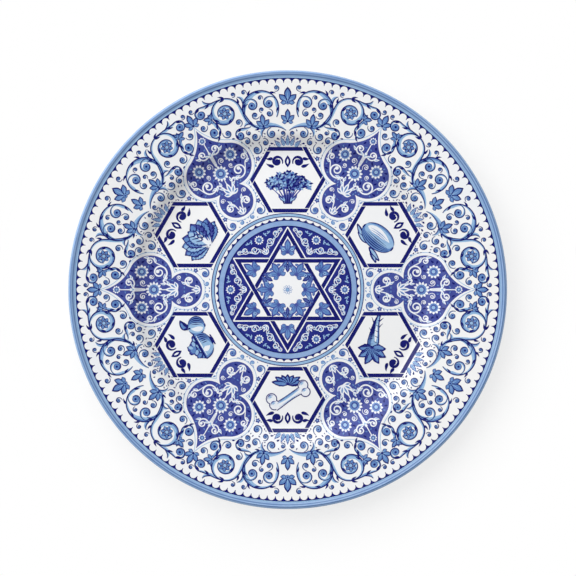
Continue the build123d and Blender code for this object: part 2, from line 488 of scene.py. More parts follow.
# rim: drawn flat, x along the rim and y the radius, then bent round

rim = {"middle": 138.0, "leaf": 9.4, "smallLeaf": 6.6, "crown": 11.0, "edgeLine": (159.6, 0.84),
       "stem": 0.85, "twig": 0.75, "sprout": 0.65}  # edgeLine: radius and width; then the lines' widths
perDegree = rim["middle"] * pi / 180  # mm of rim


def bend(grid):
    a = np.radians(90 + grid[..., 0] / perDegree)
    return np.stack([grid[..., 1] * np.cos(a), grid[..., 1] * np.sin(a)], -1)


def rimHalf():
    s = Sheet()
    hub, flower = np.array([20.2, 137.4]), (47.4, 140.6)
    buds = ((60.2, 130.4), (63.6, 146.8), (40.8, 121.6))
    main = sweep((1.4, 120.2), 34, volute(hub, 14.2, -98, 0.86, 1, 13.4))
    branch = sweep((23.0, 123.2), 14, volute(flower, 12.4, 172, 1.5, -1, 5.0), 0.9)
    hook = sweep((58.4, 142.0), -84, volute(buds[0], 5.4, 176, 0.9, 1, 2.6), 0.6)
    high = sweep((45.0, 151.6), 6, volute(buds[1], 5.2, 112, 0.95, -1, 2.3), 0.8)
    low = sweep((30.4, 126.2), -30, volute(buds[2], 4.8, 90, 0.95, -1, 2.2), 0.8)
    vine(s, main, (0.3, 2.0, 3.8, 1.6, 0.8, 2.8, 3.6, 1.8, 0.8, 2.3, 0.4), 1, rim["stem"])
    vine(s, branch, (0.2, 3.0, 1.4, 0.7, 2.8, 3.6, 1.6, 2.3, 0.4), -1, rim["stem"])
    vine(s, hook, (0.2, 2.4, 0.9, 2.0, 0.3), 1, rim["twig"])
    vine(s, high, (0.2, 1.9, 0.8, 1.8, 0.3), -1, rim["twig"])
    vine(s, low, (0.2, 2.0, 0.9, 1.8, 0.3), -1, rim["twig"])
    for at, r in zip(buds, (2.5, 2.2, 2.1)):
        bulb(s, at, r)
    for turn, spin in ((30, 1), (150, -1)):  # inside the first scroll
        tendril(s, hub + polar(7.4, turn), 5.8, turn, spin)
    vineLeaf(s, hub + polar(12.8, 270), 90, rim["leaf"])
    rosette(s, flower, 4.6, 7, "mid", "navy")
    sprouts = ((main, 0.20, -1, 9, 2.2), (main, 0.52, -1, 8, 2.0), (branch, 0.17, 1, 9, 2.2),
               (branch, 0.44, 1, 8, 2.0), (branch, 0.07, -1, 9, 2.2), (high, 0.25, 1, 7, 1.8))
    for path, t, side, n, wide in sprouts:
        at, h = spot(path, t)
        sprout = curl(at, h + side * 16, n, side * 3, side * 16)
        vine(s, sprout, (0.2, wide, wide * 0.8, 0.1), -side, rim["sprout"])
    for at, h, side in along((main, -1, 0.27, 0.6, 0.78), (main, 1, 0.34, 0.5, 0.66, 0.92),
                             (branch, 1, 0.26, 0.34, 0.52), (branch, -1, 0.34, 0.5, 0.62, 0.74),
                             (hook, 1, 0.24, 0.4), (hook, -1, 0.5), (high, -1, 0.3, 0.5),
                             (low, -1, 0.3, 0.5)):
        s.add("navy", 3, leaf(at, h + side * 46, 4.6, 1.6, -side * 9, 0.55, step=0.5))
    vineLeaf(s, spot(hook, 0.1)[0], 24, rim["smallLeaf"])
    return s.changed(bend)


def rimAxes():  # leaves over each panel and each field, and a crest on each panel's frame
    s = Sheet()
    vineLeaf(s, (0, 141.6), 90, rim["crown"])
    vineLeaf(s, (0, 127.0), 90, rim["leaf"])
    bulb(s, (0, 141.2), 1.5, level=5)
    vineLeaf(s, (field["turn"] * perDegree, 142.0), 90, rim["leaf"])
    acanthus(s, (0, 109.4), 90, 7.8, 5.0, 0)
    for side in (1, -1):
        acanthus(s, (side * 2.6, 109.4), 90 - side * 40, 7.6, 4.6, side * 3)
        acanthus(s, (side * 6.6, 109.2), 90 - side * 66, 7.4, 4.2, side * 4)
    return s.changed(bend)


def edgeLine():  # closes the gap between the teeth and the band
    s = Sheet()
    s.add("pale", 1, hoop(*rim["edgeLine"], 1.0))
    return s


# cobalt fields: white flowering branches, drawn with the field's axis along +Y

field = {"turn": 30.0, "root": 78.0, "rootLobe": 13.0, "side": 103.94, "sideLobe": 16.0, "spread": 10.0,
         "tip": 137.94, "tipSide": 25.0, "tipGrow": 1.6, "line": 1.3, "lineWidth": 0.5,
         "outerLine": 1.0, "outerWidth": 0.42, "fan": 83.4, "foot": 66.2}


def fieldEdge(grow=0.0):  # right half of the outline, from the root to the tip
    rootHub, sideHub = np.array([0.0, field["root"]]), np.array([field["spread"], field["side"]])
    rootLobe, sideLobe = field["rootLobe"] + grow, field["sideLobe"] + grow
    tip, sideEnd = np.array([0, field["tip"] + grow * field["tipGrow"]]), 90 - field["tipSide"]
    gap = sideHub - rootHub
    span = np.linalg.norm(gap)
    reach = (span**2 + rootLobe**2 - sideLobe**2) / (2 * span)
    across = np.array([gap[1], -gap[0]]) / span
    neck = rootHub + gap / span * reach + across * sqrt(rootLobe**2 - reach**2)
    low = np.radians(np.arange(-90, bearing(neck - rootHub), 3))
    high = np.radians(np.arange(bearing(neck - sideHub), sideEnd, 3))
    away = polar(1, sideEnd)
    start = sideHub + away * sideLobe
    chord = tip - start
    radius = (chord @ chord) / (2 * (chord @ away))
    hub = start + away * radius
    first, last = atan2(*(start - hub)[::-1]), atan2(*(tip - hub)[::-1])
    ogee = np.linspace(first, last + (2 * pi if last - first < -pi else 0), 30)
    lobes = [arc(*rootHub, rootLobe, low), arc(*sideHub, sideLobe, high)]
    return np.concatenate(lobes + [arc(*hub, abs(radius), ogee)])


def fieldPlot(grow=0.0):  # the whole outline
    half = fieldEdge(grow)
    return np.concatenate([half, half[::-1] * [-1, 1]])


def whiteStem(s, path, width, tip, end="white"):
    s.add("white", 1, ribbon(path, (width * 0.5, width, width, width * 0.6)))
    s.add(end, 2, disc(path[-1], tip))


def fieldHalf():
    s = Sheet()
    big = sweep((0.5, 84.0), 62, volute((13.2, 97.4), 6.6, -150, 1.6, 1, 1.5), 0.8)
    low = sweep((0.4, 66.6), 62, volute((6.7, 74.6), 4.0, 176, 1.5, -1, 1.0), 0.7)
    top = sweep((0.4, 108.0), 66, volute((5.2, 119.6), 4.2, -140, 1.45, 1, 1.0), 0.7)
    out = sweep(spot(big, 0.4)[0], 30, volute((21.6, 104.4), 3.2, -90, 1.4, 1, 0.9), 0.7)
    for path, width, tip in ((big, 1.15, 1.4), (low, 0.95, 1.05), (top, 0.95, 1.05), (out, 0.9, 0.9)):
        whiteStem(s, path, width, tip)
    for at, h, side in along((big, -1, 0.12, 0.24), (big, 1, 0.16, 0.28), (low, -1, 0.3, 0.46),
                             (low, 1, 0.36), (top, 1, 0.2), (top, -1, 0.24, 0.44), (out, -1, 0.3, 0.5)):
        shape = (0, 4.4, 1.9), (0.9, 2.6, 0.75)
        twoTone(s, ("white", "pale"), 1, at, h + side * 48, *shape, -side * 7, 0.6)
    daisy(s, (13.6, 110.6), 5.2, 11)
    s.add("white", 1, ribbon(fieldEdge(field["line"]), field["lineWidth"]))
    s.add("pale", 1, ribbon(fieldEdge(field["line"] + field["outerLine"]), field["outerWidth"]))
    return s


def fieldAxis():
    s = Sheet()
    daisy(s, (0, 101.6), 6.2, 13)
    daisy(s, (0, 129.0), 2.9, 9)
    s.add("white", 1, ribbon(straight((0, 92), (0, 96)), (0.8, 0.6)))
    s.add("white", 1, ribbon(straight((0, 107), (0, 127)), (0.6, 0.9, 0.6)))
    for turn, n in ((68, 6.4), (-68, 6.4), (34, 8.4), (-34, 8.4), (0, 10.0)):
        shape = (0, n, 3.2), (2.0, n * 0.58, 1.3)
        twoTone(s, ("white", "mid"), 2, (0, field["fan"]), 90 + turn, *shape, 0, 1.1)
    for turn, n in ((0, 7.0), (40, 5.4), (-40, 5.4)):
        shape = (0, n, 2.4), (1.4, n * 0.55, 0.9)
        twoTone(s, ("white", "mid"), 2, (0, field["foot"]), 90 + turn, *shape, 0, 1.0)
    return s


# medallion: white scrolls on the cobalt ground, blue sprigs in the white star

star = {"heart": 3.6, "ray": 11.0, "rayFrom": 12.8, "point": 10.6, "inner": 6.4, "groundFan": 31.0,
        "lines": ((48.2, 0.9), (52.7, 0.7), (55.5, 0.6), (57.9, 0.6))}  # radius, width


def groundHalf():
    s = Sheet()
    main = sweep((0.2, 31.4), 66, volute((6.6, 38.4), 3.5, -150, 1.55, 1, 0.9, 0.45), 0.8, 0.5)
    branch = sweep(spot(main, 0.34)[0], 14, volute((13.2, 41.6), 2.8, -110, 1.5, 1, 0.8, 0.45), 0.7, 0.5)
    twig = sweep(spot(branch, 0.36)[0], 20, volute((18.0, 42.4), 1.5, -100, 1.4, 1, 0.6, 0.4), 0.7, 0.5)
    for path, width, tip in ((main, 0.66, 0.85), (branch, 0.6, 0.75), (twig, 0.52, 0.6)):
        whiteStem(s, path, width, tip, "pale")
    for at, h, side in along((main, -1, 0.24, 0.42), (main, 1, 0.2, 0.32), (branch, -1, 0.42),
                             (branch, 1, 0.24, 0.42), (twig, 1, 0.4)):
        shape = (0, 2.9, 1.2), (0.7, 1.7, 0.5)
        twoTone(s, ("pale", "white"), 1, at, h + side * 50, *shape, -side * 9, 0.6, 0.4)
    for x, y, h in ((5.6, 44.8, 20), (9.2, 44.6, 100)):
        for turn in (0, 72, -72):
            s.add("pale", 1, leaf((x, y), h + turn, 1.9, 0.95, 0, 1.0, step=0.35))
    return s


def groundAxis():
    s = Sheet()
    daisy(s, (0, 43.4), 3.6, 11)
    for turn, n in ((0, 6.0), (36, 5.0), (-36, 5.0)):
        shape = (0, n, 2.1), (1.1, n * 0.6, 0.8)
        twoTone(s, ("white", "mid"), 2, (0, star["groundFan"]), 90 + turn, *shape, 0, 0.8)
    return s


def starHalf():
    s = Sheet()
    for start, h, n, bendA, bendB in (((0.8, 21.0), -14, 6.6, -4, -56), ((0.6, 27.6), -24, 7.4, 10, 52)):
        path = curl(start, h, n, bendA, bendB, 1.3, 0.5)
        s.add("cobalt", 1, ribbon(path, (0.4, 1.0, 0.4)))
        bulb(s, path[-1], 1.2, "cobalt", "pale", 1)
    for start, h, n in (((0.5, 21.8), -58, 6.0), ((5.6, 19.4), -30, 4.6)):
        shape = (0, n, n * 0.44), (n * 0.16, n * 0.62, n * 0.2)
        twoTone(s, ("cobalt", "mid"), 1, start, h, *shape, 5, 0.65)
    return s


def starAxis():
    s = Sheet()
    vineLeaf(s, (0, 28.2), 90, star["point"], "cobalt", "mid", "cobalt", 1)
    vineLeaf(s, polar(star["rayFrom"], 60), 60, star["ray"], "cobalt", "mid", "cobalt", 1)
    vineLeaf(s, (0, 19.4), -90, star["inner"], "navy", "cobalt", "mid", 1)
    return s


def starHeart():
    s = Sheet()
    rosette(s, (0, 0), star["heart"], 10, "white", "mid")
    for r, wide in star["lines"]:
        s.add("navy", 1, hoop(r, wide, 1.5))
    return s


# panels: a picture of each food, and a flourish outside it; +Y is outward

panel = {"ring": 83.455, "apothem": 24.855, "flourish": 14.0, "picture": -5.4}


def flourish():
    s = Sheet()
    y = panel["flourish"]
    s.add("navy", 1, leaf((0, y - 4.6), 90, 9.2, 4.6, 0, 1.0))
    s.add("white", 2, leaf((0, y - 2.2), 90, 4.4, 1.5, 0, 1.0))
    half = Sheet()
    half.add("navy", 1, ribbon(volute((8.0, y), 4.4, 205, 1.2, -1, 1.5, 0.45), (0.7, 2.0, 2.3, 2.2, 1.5)))
    half.add("navy", 2, disc((8.0, y), 1.7, 11))
    half.add("navy", 3, leaf((10.2, y - 4.0), 4, 6.8, 2.5, 5, 0.6))
    half.add("navy", 4, leaf((11.4, y + 2.6), -30, 5.4, 2.4, 9, 0.6))
    return Sheet(s, half.both())


def greens():
    s = Sheet()
    random = np.random.RandomState(5)
    sprigs = 40
    for k in range(sprigs):  # spread evenly over a half round, from the middle out
        reach, turn = sqrt((k + 0.5) / sprigs), radians(6 + 168 * (k * 0.618 % 1))
        x, y = 11.4 * reach * cos(turn), -2.6 + 11.0 * reach * sin(turn)
        if k % 3 == 0:
            stem = sweep((x * 0.1, -11.6), 90 - x * 2, np.array([[x, y], [x * 1.02, y + 0.2]]), 0.8)
            s.add("cobalt", 1, ribbon(stem, (0.9, 0.6, 0.35)))
        for i in range(7):
            h = 51 * i + random.uniform(-16, 16)
            ink = ("navy", "navy", "cobalt", "mid", "pale")[random.randint(5)]
            n, lean = random.uniform(1.5, 2.5), random.uniform(-9, 9)
            s.add(ink, 2 + i % 3, leaf((x, y), h, n, 1.2, lean, 1.1, step=0.4))
    for x, h in ((-0.9, 96), (0.0, 90), (0.9, 84), (-2.0, 112), (2.0, 68)):  # the stalks
        s.add("navy", 5, ribbon(curl((x * 0.8, -11.8), h, 7.0, 0, 0), (0.7, 0.5, 0.2)))
    for side in (1, -1):
        for n, h in ((6.4, 48), (5.0, 20)):
            outer = leaf((side * 0.8, -10.6), 90 - side * h, n, 2.4, side * 3, 0.9, 3, 0.3, step=0.4)
            s.add("cobalt", 4, outer)
            s.add("pale", 5, leaf((side * 1.3, -10.2), 90 - side * h, n * 0.6, 0.7, side * 3, 0.9, step=0.4))
    return s


def oval(center, long, high, tilt):  # a path and its widths, with closer points at the round ends
    turn = np.linspace(0.05, 0.95, 26) * pi
    return center - np.cos(turn)[:, None] * polar(long, tilt), 2 * high * np.sin(turn)


engraving = {"ink": "navy", "outline": 0.65}


# rounded, with lines on the shaded side
def engraved(s, path, widths, body, shade, level, lines, side=-1, shine=0.0):
    w, out = widthsAlong(widths, len(path)), normals(path) * side
    ink, outline, n = engraving["ink"], engraving["outline"], len(path)
    ways = path[0] - path[1], path[-1] - path[-2]
    tips = [end + way / np.linalg.norm(way) * outline for end, way in zip((path[0], path[-1]), ways)]
    longer = np.concatenate([tips[:1], path, tips[1:]])
    wider = np.concatenate([[w[0] * 0.7], w + 2 * outline, [w[-1] * 0.7]])
    s.add(ink, level, ribbon(longer, wider, 3))
    s.add(shade, level + 1, ribbon(path[1:-1], w[1:-1], 3))
    s.add(body, level + 2, ribbon((path - out * (w * 0.12)[:, None])[2:-2], w[2:-2] * 0.62, 3))
    if shine:
        lit = (path - out * (w * 0.2)[:, None])[n // 6: n - n // 4]
        s.add("white", level + 3, ribbon(lit, leafWidth(shine, 0.8), 3))
    for k in range(lines):
        line = path + out * (w * (0.42 - 0.44 * k / lines))[:, None]
        cut = int(n * (0.08 + 0.22 * k / lines))  # the lines shorten toward the light
        s.add(ink, level + 3, ribbon(line[cut: n - cut], (0.1, 0.8 - 0.3 * k / lines, 0.1)))


def egg():
    s = Sheet()
    for x, h, n in ((-5.0, 174, 10.0), (3.0, 6, 11.0), (-1.0, 188, 9.0), (5.0, -8, 9.0)):  # leaves under it
        engraved(s, curl((x, -8.6), h, n, 0, 0), leafWidth(2.4, 0.8), "pale", "cobalt", 1, 1)
    engraved(s, *oval(np.zeros(2), 12.6, 7.8, 20), "pale", "mid", 4, 5, -1, 5.4)
    for k in range(3):
        line = curl((-8.2 + k * 1.1, -0.6 - k * 0.9), 34, 15.0 - k, -1.8, -1.8)
        s.add("mid", 8, ribbon(line, (0.1, 0.6, 0.1)))
    return s


def root():
    s = Sheet()
    body = curl((5.4, 0.4), -166, 22.0, 1.6, -2.6)
    widths = np.array([5.4, 6.4, 5.2, 3.8, 2.2, 0.7])
    for t, side, n in ((0.4, 1, 5.0), (0.56, -1, 5.4), (0.7, 1, 5.0), (0.82, -1, 4.0)):
        at, h = spot(body, t)
        hair = curl(at + polar(1.2, h + side * 90), h + side * 34, n, -side * 5, side * 8)
        s.add("navy", 1, ribbon(hair, (0.9, 0.6, 0.2)))
    engraved(s, body, widths, "pale", "mid", 2, 4, 1, 1.6)
    out, w = normals(body), widthsAlong(widths, len(body))
    for i in range(3, len(body) - 6, 3):  # short rings from either side
        side = 1 if i % 2 else -1
        h = spot(body, i / (len(body) - 1))[1]
        line = curl(body[i] + out[i] * side * w[i] * 0.46, h - side * 84, w[i] * 0.5, side * 9, side * 9)
        s.add("navy", 6, ribbon(line, (0.5, 0.36, 0.1)))
    for h, n, wide in ((108, 8.4, 4.4), (-52, 8.6, 4.4), (76, 10.4, 4.8), (-18, 10.4, 4.8),
                       (44, 11.0, 5.0), (14, 11.6, 5.2)):
        top = curl((5.0, 0.4), h, n, 0, 4 if h > 20 else -4)
        engraved(s, top, leafWidth(wide, 0.9, 4, 0.2), "mid", "cobalt", 5, 2)
    return s


def bone():
    s = Sheet()
    for h, n in ((-172, 10.0), (-8, 10.0), (-150, 9.0), (-30, 9.0), (-124, 6.6), (-56, 6.6), (-90, 6.0)):
        engraved(s, curl((0.0, -6.4), h, n, 0, 0), leafWidth(3.2, 0.9, 4, 0.2), "mid", "cobalt", 1, 1)
    shaft, widths = curl((-10.6, -3.4), 26, 22.4, 1.4, -1.0), np.array([4.4, 3.6, 3.2, 3.2, 3.6, 4.2])
    knobs = ((-10.0, -5.8, 2.9), (-11.6, -1.4, 2.8), (10.6, 3.2, 3.1), (8.6, 7.2, 2.9))
    for ink, level, grow in ((engraving["ink"], 4, engraving["outline"]), ("white", 5, 0.0)):
        s.add(ink, level, ribbon(shaft, widths + 2 * grow, 3))
        for x, y, r in knobs:
            s.add(ink, level, disc((x, y), r + grow, 15))
    out = normals(shaft)
    for ink, shift, wide in (("pale", -1.0, 1.5), ("mid", -1.5, 0.7), ("pale", 1.3, 0.5)):
        s.add(ink, 6, ribbon((shaft + out * shift)[4:-4], (0.1, wide, wide, 0.1)))
    shaded = np.radians(np.arange(-120, 21, 12))
    for x, y, r in knobs:
        for k, ink in enumerate(("cobalt", "pale", "pale")):
            s.add(ink, 7, ribbon(arc(x, y, r * (0.82 - 0.24 * k), shaded), (0.1, 0.8, 0.1)))
    return s


def bowl():
    s = Sheet()
    fruit = ((-5.4, -2.4), (-3.2, -1.9), (-1.0, -1.5), (1.2, -1.7), (3.4, -2.1), (5.2, -2.5),
             (-4.2, -0.3), (-1.9, 0.4), (0.5, 0.6), (2.8, -0.1), (-0.6, 2.2), (1.6, 2.2))
    for i, (u, v) in enumerate(fruit):
        berry = oval(np.array([u - 3.0, v]), 1.45, 1.45, 20 * i)
        engraved(s, *berry, "pale" if i % 2 else "mid", "cobalt", 1 + 3 * (i // 6), 0)
    down = straight((-3.0, -2.8), (-3.0, -10.4), 16)
    engraved(s, down, lambda t: 15.0 * np.sqrt(np.maximum(1 - t**2.4, 0.05)), "pale", "mid", 8, 5, 1, 3.0)
    s.add("navy", 12, ribbon(straight((-6.2, -11.2), (0.2, -11.2)), (0.6, 1.3, 0.6)))
    s.add("navy", 12, ribbon(straight((-10.8, -2.9), (4.8, -2.9)), (0.5, 1.2, 0.5)))
    s.add("white", 13, ribbon(straight((-9.4, -4.0), (3.4, -4.0)), (0.2, 0.6, 0.2)))
    apple = np.array([8.2, -7.0])
    engraved(s, *oval(apple, 4.7, 4.9, 64), "pale", "mid", 8, 4, -1, 2.8)
    s.add("navy", 13, ribbon(curl(apple + (0.4, 3.6), 84, 3.6, -8, -8), (1.0, 0.7, 0.8)))
    engraved(s, curl(apple + (0.8, 5.6), 22, 6.0, -4, -4), leafWidth(2.8), "mid", "cobalt", 9, 2)
    return s


def lettuce():
    s = Sheet()
    leaves = ((84, 13.4, 7.4), (-84, 13.4, 7.4), (62, 15.6, 8.4), (-62, 15.6, 8.4), (40, 16.8, 8.8),
              (-40, 16.8, 8.8), (19, 17.6, 8.6), (-19, 17.6, 8.6), (0, 16.0, 9.0))  # turn, length, width
    for i, (turn, n, wide) in enumerate(leaves):
        spine = curl((0, -11.0), 90 + turn, n, -turn * 0.10, turn * 0.12, step=0.5)
        level = 1 + 3 * ((i + 1) // 2)
        body, shade = ("mid", "cobalt") if i % 4 > 1 else ("pale", "mid")
        engraved(s, spine, leafWidth(wide, 1.3, 8, 0.2), body, shade, level, 0)
        s.add("white", level + 3, ribbon(spine[: int(len(spine) * 0.72)], (1.9, 1.1, 0.2)))
        for t in (0.36, 0.54, 0.7):
            at, h = spot(spine, t)
            for side in (1, -1):
                vein = straight(at, at + polar(wide * 0.44, h + side * 40), 4)
                s.add("navy", level + 4, ribbon(vein, (0.9, 0.3)))
    return s


foods = {90: (greens, 1.52, 1.18), 30: (egg, 1.1, 1.1), -30: (root, 1.16, 1.2), -90: (bone, 1.16, 1.16),
         -150: (bowl, 1.34, 1.34), 150: (lettuce, 1.36, 1.18)}  # with the picture's width and height scale


# filler: small marks go where a disc of their size still has room

# sizes are radii with the number of places tried; rich is the radius from where the lace darkens
filler = {"rim": ((5.4, 3000), (4.6, 3500), (3.9, 4500), (3.3, 5000), (2.7, 6000), (2.2, 6000)),
          "lace": ((4.4, 3000), (3.7, 4000), (3.0, 5000), (2.4, 6000),
                   (1.9, 8000), (1.3, 8000), (0.9, 8000), (0.7, 8000)),
          "rimGap": 0.5, "laceGap": 0.2, "inner": 58.4, "edge": 121.5, "outer": 155.2, "rich": 98.0,
          "tendril": 2.0, "boldTendril": 3.5, "flower": 1.6,  # the least size of each
          "laceLine": 0.65, "spinSeed": 4, "rimSeed": 11, "laceSeed": 12, "axis": (58, 156),
          "sector": (60.3, 89.7), "arcs": (58, 92, 0.25), "near": (56, 94)}  # bearings in degrees
fieldFiller = {"sizes": ((3.6, 2500), (2.9, 3500), (2.2, 4000), (1.5, 4500), (1.0, 4500)), "gap": 0.5,
               "panelGap": 2.4, "spiral": 2.0, "boldLeaf": 1.2, "line": 0.62, "spinSeed": 9, "seed": 21,
               "axis": (62, 140), "across": (0, 27), "outward": (64, 139), "near": -4}


def inside(points, polygon):
    x, y = points[:, 0], points[:, 1]
    found = np.zeros(len(points), bool)
    for (ax, ay), (bx, by) in zip(polygon, np.roll(polygon, -1, 0)):
        if by != ay:
            found ^= ((ay > y) != (by > y)) & (x < ax + (y - ay) * (bx - ax) / (by - ay))
    return found


def dense(line):  # a point about every half millimetre
    out = [straight(p, q, max(2, int(np.linalg.norm(q - p) / 0.5))) for p, q in zip(line[:-1], line[1:])]
    return np.concatenate(out)


def covered(sheet):
    across = np.linspace(0, 1, 9)[None, :, None]
    grids = [grid[:, :1] + (grid[:, -1:] - grid[:, :1]) * across for _, _, grid in sheet.marks]
    return np.concatenate([grid.reshape(-1, 2) for grid in grids])


def hexagon(angle, grow=0.0):
    corner = (panel["apothem"] + grow) / cos(pi / 6)
    return np.array([polar(panel["ring"], angle) + polar(corner, angle + 30 + 60 * k) for k in range(7)])


# places, sizes, and the bearing of the nearest drawn line
def roomFor(taken, drawn, candidates, sizes, gap, seed):
    random = np.random.RandomState(seed)
    trees = []
    for points in (taken, drawn):
        tree = kdtree.KDTree(len(points))
        for i, (x, y) in enumerate(points):
            tree.insert((x, y, 0), i)
        tree.balance()
        trees.append(tree)
    found = []
    for size, tries in sizes:
        for at in candidates(random, tries):
            free = trees[0].find((at[0], at[1], 0))[2] > size + gap
            if free and all(np.hypot(*(at - q)) > size + r + gap for q, r, _ in found):
                near = trees[1].find((at[0], at[1], 0))[0]
                found.append((at, size, bearing((near[0] - at[0], near[1] - at[1]))))
    return found


def fillHalf(drawn):  # between a panel's axis, along +Y, and the next field's axis
    s = Sheet()
    toField = turning(-field["turn"])
    plot = fieldPlot(field["line"]) @ toField
    panels = hexagon(90), hexagon(30)
    axisStart, axisEnd = filler["axis"]
    axis = straight((0, axisStart), (0, axisEnd), 220)
    arcs = np.radians(np.arange(*filler["arcs"]))
    ends = [arc(0, 0, filler[end], arcs) for end in ("inner", "outer")]
    marks = covered(drawn)
    taken = [marks, dense(plot), axis, axis @ toField, dense(panels[0]), dense(panels[1])]
    taken = np.concatenate(taken + ends)
    angle = np.degrees(np.arctan2(taken[:, 1], taken[:, 0]))
    nearFrom, nearTo = filler["near"]
    taken = taken[(angle > nearFrom) & (angle < nearTo)]

    def within(low, high):
        def candidates(random, tries):
            r = np.sqrt(random.uniform(low**2, high**2, tries))
            a = np.radians(random.uniform(*filler["sector"], tries))
            p = np.stack([r * np.cos(a), r * np.sin(a)], 1)
            return p[~inside(p, plot) & ~inside(p, panels[0]) & ~inside(p, panels[1])]
        return candidates

    random = np.random.RandomState(filler["spinSeed"])
    onRim, onLace = within(filler["edge"], filler["outer"]), within(filler["inner"], filler["edge"])
    room = roomFor(taken, marks, onRim, filler["rim"], filler["rimGap"], filler["rimSeed"])
    for at, size, begin in room:
        spin = random.choice((-1, 1))
        tendril(s, at, size, begin, spin)
    taken = np.concatenate([taken, covered(s)])
    room = roomFor(taken, marks, onLace, filler["lace"], filler["laceGap"], filler["laceSeed"])
    for at, size, begin in room:
        spin = random.choice((-1, 1))
        farOut = np.hypot(*at) > filler["rich"]
        if size > filler["tendril"]:
            rich = farOut or size > filler["boldTendril"]
            dark = "navy" if farOut else "cobalt" if rich else "mid"
            tendril(s, at, size, begin, spin, dark, "mid" if rich else "pale", filler["laceLine"])
        elif size > filler["flower"]:
            for i in range(5):
                s.add("cobalt", 1, leaf(at, begin + 72 * i, size * 1.1, size * 0.75, 0, 1.1, step=0.4))
            s.add("pale", 2, disc(at, size * 0.3, 7))
        else:
            ink = "navy" if farOut else "mid"
            s.add(ink, 1, leaf(at - polar(size, begin), begin, size * 2.0, size * 0.95, 14, 0.6, step=0.4))
    return s


def fillField(drawn):
    s = Sheet()
    look = fieldFiller
    plot, nextPanel = fieldPlot(), hexagon(60, look["panelGap"])
    marks = covered(drawn)
    axisStart, axisEnd = look["axis"]
    axis = straight((0, axisStart), (0, axisEnd), 180)
    taken = np.concatenate([marks, dense(plot), axis, dense(nextPanel)])
    taken = taken[taken[:, 0] > look["near"]]

    def candidates(random, tries):
        x, y = random.uniform(*look["across"], tries), random.uniform(*look["outward"], tries)
        p = np.stack([x, y], 1)
        return p[inside(p, plot) & ~inside(p, nextPanel)]

    random = np.random.RandomState(look["spinSeed"])
    for at, size, begin in roomFor(taken, marks, candidates, look["sizes"], look["gap"], look["seed"]):
        spin = random.choice((-1, 1))
        if size > look["spiral"]:
            whiteStem(s, volute(at, size, begin, 1.5, spin, size * 0.22), look["line"], size * 0.2)
        else:
            ink = "navy" if size > look["boldLeaf"] else "mid"
            s.add(ink, 1, leaf(at - polar(size, begin), begin, size * 2, size * 0.9, 14, 0.6, step=0.4))
    return s


# prints: the marks laid on the plate's face as thin fired enamel, a closed solid each

plate = {"floor": 8.0, "floorRadius": 100.0, "cavetto": 20.0, "cavettoTurn": 45.0, "shoulder": 12.0,
         "rimSlope": 10.0}
# in mm; step shares out a layer's height among its marks
# between the radii of thicker the enamel is lifted more, and between those of bends the face curves
enamel = {"lift": 0.04, "layer": 0.016, "step": 0.6180339887, "spread": 0.9, "seat": 0.06,
          "curved": 0.08, "thicker": (96, 100, 121, 125), "bends": (99.0, 122.0), "fine": 1.0}
planWidth = 0.34  # metres across the plan that the prints' coordinates cover
sharpAngle = 45  # degrees


def onPlate(flat, lift):  # points in the plan to points on the face, in metres
    wallTurn, slope = radians(plate["cavettoTurn"]), radians(plate["rimSlope"])
    wallEnd = plate["floorRadius"] + plate["cavetto"] * sin(wallTurn)
    wallTop = plate["floor"] + plate["cavetto"] * (1 - cos(wallTurn))
    hubR = wallEnd + plate["shoulder"] * sin(wallTurn)
    hubZ = wallTop - plate["shoulder"] * cos(wallTurn)
    rimStart = hubR - plate["shoulder"] * sin(slope)
    rimZ = hubZ + plate["shoulder"] * cos(slope)
    r = np.hypot(flat[..., 0], flat[..., 1])
    onWall = np.arcsin(np.clip((r - plate["floorRadius"]) / plate["cavetto"], 0, sin(wallTurn)))
    onShoulder = np.arcsin(np.clip((hubR - r) / plate["shoulder"], sin(slope), sin(wallTurn)))
    tilt = np.where(r < wallEnd, onWall, np.where(r < rimStart, onShoulder, slope))
    wallZ = plate["floor"] + plate["cavetto"] * (1 - np.cos(onWall))
    shoulderZ = hubZ + plate["shoulder"] * np.cos(onShoulder)
    outerZ = np.where(r < rimStart, shoulderZ, rimZ + (r - rimStart) * np.tan(slope))
    z = np.where(r < wallEnd, wallZ, outerZ)
    out = flat / np.maximum(r, 1e-9)[..., None]
    side = -out * (np.sin(tilt) * lift)[..., None]
    return np.concatenate([flat + side, (z + np.cos(tilt) * lift)[..., None]], -1) / mmPerMetre


def refined(grid):  # closer points where the face curves
    r = np.hypot(grid[..., 0], grid[..., 1])
    first, last = enamel["bends"]
    if r.max() < first or r.min() > last:
        return grid
    for axis in (0, 1):
        gap = np.linalg.norm(np.diff(grid, axis=axis), axis=-1).max()
        parts = int(np.ceil(gap / enamel["fine"]))
        if parts > 1:
            n = grid.shape[axis]
            at = np.linspace(0, n - 1, (n - 1) * parts + 1)
            low = np.minimum(at.astype(int), n - 2)
            share = (at - low).reshape((-1, 1, 1) if axis == 0 else (1, -1, 1))
            grid = np.take(grid, low, axis) * (1 - share) + np.take(grid, low + 1, axis) * share
    return grid


def quads(a, b, c, d):
    return np.stack([a, b, c, d], -1).reshape(-1, 4)


